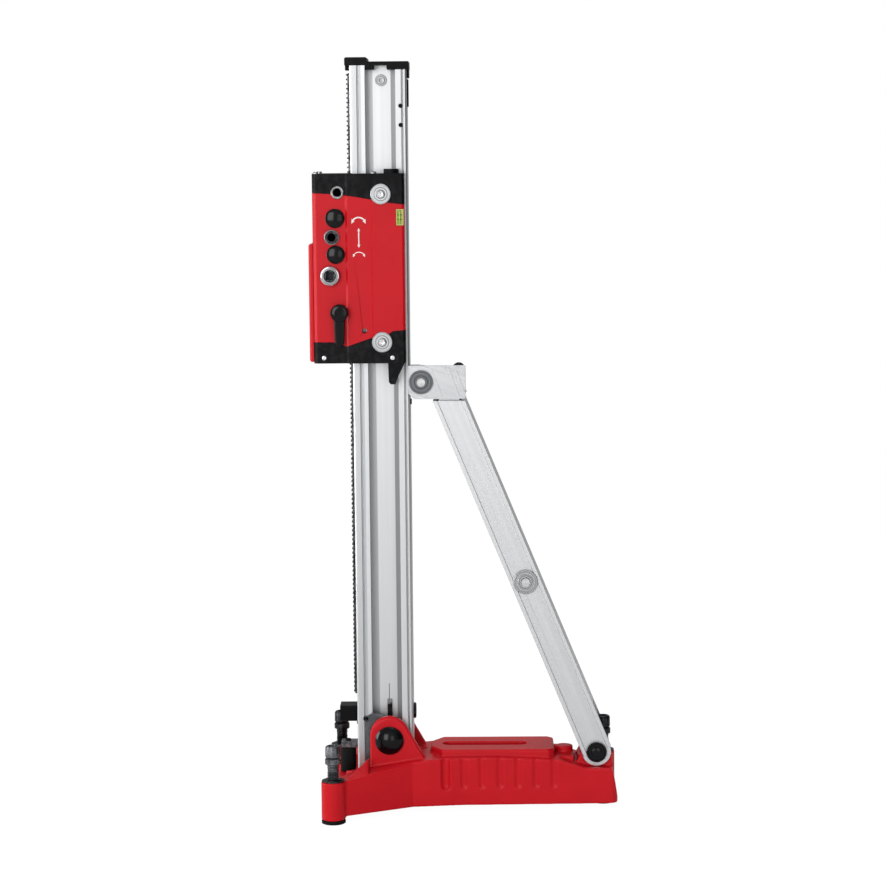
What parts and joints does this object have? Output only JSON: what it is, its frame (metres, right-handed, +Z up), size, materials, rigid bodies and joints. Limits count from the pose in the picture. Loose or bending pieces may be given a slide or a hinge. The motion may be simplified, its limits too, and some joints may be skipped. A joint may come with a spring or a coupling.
{
  "type": "core drill rig",
  "caption": "Upright drill stand: cast foot on levelling screws, tilting rail with a gear rack, geared carriage on rollers and a slanted rear brace.",
  "frame": {"origin": "middle of the stand's outline on the floor", "axes": "+Z up the rail, -X towards the drilling side, +X towards the brace, Y across"},
  "size_m": [0.42, 0.261, 1.04],
  "materials": {
    "red_paint": "red powder coat on cast aluminium",
    "black_plastic": "fine texture",
    "roller_nylon": "smooth",
    "rubber": "matt",
    "anodised": "satin anodised",
    "dark_steel": "blackened",
    "bright_steel": "zinc plated",
    "chrome": "polished",
    "brass": "machined",
    "level_plastic": "translucent",
    "level_vial": "green liquid"
  },
  "bodies": {
    "base": {"base_casting": "red_paint", "pivot_bolt": "bright_steel", "pivot_caps": "black_plastic", "lock_rings": "dark_steel", "foot_pins": "bright_steel", "foot_caps": "black_plastic"},
    "column": {"rail": "anodised", "gear_rack": "dark_steel", "top_cap": "black_plastic", "cap_bolts": "bright_steel", "hinge_plates": "dark_steel", "lower_stop": "black_plastic", "stop_bolt": "dark_steel", "stop_bracket": "bright_steel", "upright_buffer": "rubber", "tilt_pointer": "black_plastic", "slot_strip": "black_plastic", "brace_stop": "black_plastic"},
    "brace_slider": {"brace_slider": "anodised"},
    "brace": {"strut_profile": "anodised", "bracket_plates": "anodised", "strut_stem": "anodised", "strut_plug": "black_plastic", "brace_bolts": "bright_steel", "brace_washers": "dark_steel"},
    "carriage": {"housing_left": "red_paint", "housing_right": "red_paint", "upper_cap": "black_plastic", "lower_cap": "black_plastic", "front_plate": "red_paint", "roller_axles": "bright_steel", "roller_washers": "bright_steel", "shaft_bushes": "bright_steel", "shaft_covers": "black_plastic", "guide_bushes": "bright_steel", "cover_screws": "bright_steel", "level_body": "level_plastic", "level_vial": "level_vial", "lock_pad": "brass"},
    "feed_shaft": {"feed_pinion": "bright_steel", "pinion_shaft": "bright_steel", "final_gear": "bright_steel"},
    "layshaft": {"layshaft": "bright_steel", "large_gear": "bright_steel"},
    "drive_shaft": {"input_gear": "bright_steel", "input_shaft": "chrome"},
    "lock_lever": {"lock_lever": "black_plastic", "lock_spindle": "bright_steel"},
    "roller_upper_left": {"roller_upper_left": "roller_nylon"},
    "roller_upper_right": {"roller_upper_right": "roller_nylon"},
    "roller_lower_left": {"roller_lower_left": "roller_nylon"},
    "roller_lower_right": {"roller_lower_right": "roller_nylon"},
    "foot_pad_front_right": {"foot_pad_front_right": "dark_steel"},
    "spindle_front_right": {"levelling_spindle_front_right": "dark_steel"},
    "foot_pad_front_left": {"foot_pad_front_left": "dark_steel"},
    "spindle_front_left": {"levelling_spindle_front_left": "dark_steel"},
    "foot_pad_rear": {"foot_pad_rear": "dark_steel"},
    "spindle_rear": {"levelling_spindle_rear": "dark_steel"}
  },
  "joints": [
    {"name": "column_tilt", "type": "hinge", "parent": "base", "child": "column", "pos_m": [-0.107, 0, 0.1], "axis": [0, 1, 0], "range_deg": [0, 45]},
    {"name": "brace_swing", "type": "hinge", "parent": "base", "child": "brace", "pos_m": [0.1805, 0, 0.0795], "axis": [0, 1, 0], "range_deg": [0, 53]},
    {"name": "brace_slide", "type": "slide", "parent": "column", "child": "brace_slider", "axis": [0, 0, 1], "range_m": [0, 0.2365]},
    {"name": "carriage_slide", "type": "slide", "parent": "column", "child": "carriage", "axis": [0, 0, 1], "range_m": [-0.455, 0.125]},
    {"name": "feed_shaft_turn", "type": "hinge", "parent": "carriage", "child": "feed_shaft", "pos_m": [-0.1775, 0, 0.797], "axis": [0, 1, 0], "continuous": true},
    {"name": "layshaft_turn", "type": "hinge", "parent": "carriage", "child": "layshaft", "pos_m": [-0.1725, 0, 0.77353], "axis": [0, 1, 0], "continuous": true},
    {"name": "drive_shaft_turn", "type": "hinge", "parent": "carriage", "child": "drive_shaft", "pos_m": [-0.1805, 0, 0.74461], "axis": [0, 1, 0], "continuous": true},
    {"name": "lock_lever_turn", "type": "hinge", "parent": "carriage", "child": "lock_lever", "pos_m": [-0.168, -0.06, 0.6945], "axis": [0, 1, 0], "range_deg": [0, 90]},
    {"name": "roller_upper_left_turn", "type": "hinge", "parent": "carriage", "child": "roller_upper_left", "pos_m": [-0.11025, 0.022, 0.855], "axis": [0, 1, 0], "continuous": true},
    {"name": "roller_upper_right_turn", "type": "hinge", "parent": "carriage", "child": "roller_upper_right", "pos_m": [-0.11025, -0.022, 0.855], "axis": [0, 1, 0], "continuous": true},
    {"name": "roller_lower_left_turn", "type": "hinge", "parent": "carriage", "child": "roller_lower_left", "pos_m": [-0.11025, 0.022, 0.654], "axis": [0, 1, 0], "continuous": true},
    {"name": "roller_lower_right_turn", "type": "hinge", "parent": "carriage", "child": "roller_lower_right", "pos_m": [-0.11025, -0.022, 0.654], "axis": [0, 1, 0], "continuous": true},
    {"name": "foot_pad_front_right_lift", "type": "slide", "parent": "base", "child": "foot_pad_front_right", "axis": [0, 0, -1], "range_m": [0, 0.02]},
    {"name": "spindle_front_right_turn", "type": "hinge", "parent": "foot_pad_front_right", "child": "spindle_front_right", "pos_m": [-0.182, -0.114, 0.06], "axis": [0, 0, -1], "range_deg": [0, 3601]},
    {"name": "foot_pad_front_left_lift", "type": "slide", "parent": "base", "child": "foot_pad_front_left", "axis": [0, 0, -1], "range_m": [0, 0.02]},
    {"name": "spindle_front_left_turn", "type": "hinge", "parent": "foot_pad_front_left", "child": "spindle_front_left", "pos_m": [-0.182, 0.114, 0.06], "axis": [0, 0, -1], "range_deg": [0, 3601]},
    {"name": "foot_pad_rear_lift", "type": "slide", "parent": "base", "child": "foot_pad_rear", "axis": [0, 0, -1], "range_m": [0, 0.02]},
    {"name": "spindle_rear_turn", "type": "hinge", "parent": "foot_pad_rear", "child": "spindle_rear", "pos_m": [0.1905, 0, 0.06], "axis": [0, 0, -1], "range_deg": [0, 3601]}
  ],
  "couplings": [
    {"joint": "brace_swing", "follows": "column_tilt", "ratio": 1.1668},
    {"joint": "brace_slide", "follows": "column_tilt", "m_per_rad": 0.30058},
    {"joint": "feed_shaft_turn", "follows": "carriage_slide", "rad_per_m": 45.455},
    {"joint": "layshaft_turn", "follows": "carriage_slide", "rad_per_m": -100},
    {"joint": "drive_shaft_turn", "follows": "carriage_slide", "rad_per_m": 140},
    {"joint": "roller_upper_left_turn", "follows": "carriage_slide", "rad_per_m": -48.9},
    {"joint": "roller_upper_right_turn", "follows": "carriage_slide", "rad_per_m": -48.9},
    {"joint": "roller_lower_left_turn", "follows": "carriage_slide", "rad_per_m": 48.9},
    {"joint": "roller_lower_right_turn", "follows": "carriage_slide", "rad_per_m": 48.9},
    {"joint": "spindle_front_right_turn", "follows": "foot_pad_front_right_lift", "rad_per_m": 3141.6},
    {"joint": "spindle_front_left_turn", "follows": "foot_pad_front_left_lift", "rad_per_m": 3141.6},
    {"joint": "spindle_rear_turn", "follows": "foot_pad_rear_lift", "rad_per_m": 3141.6}
  ]
}
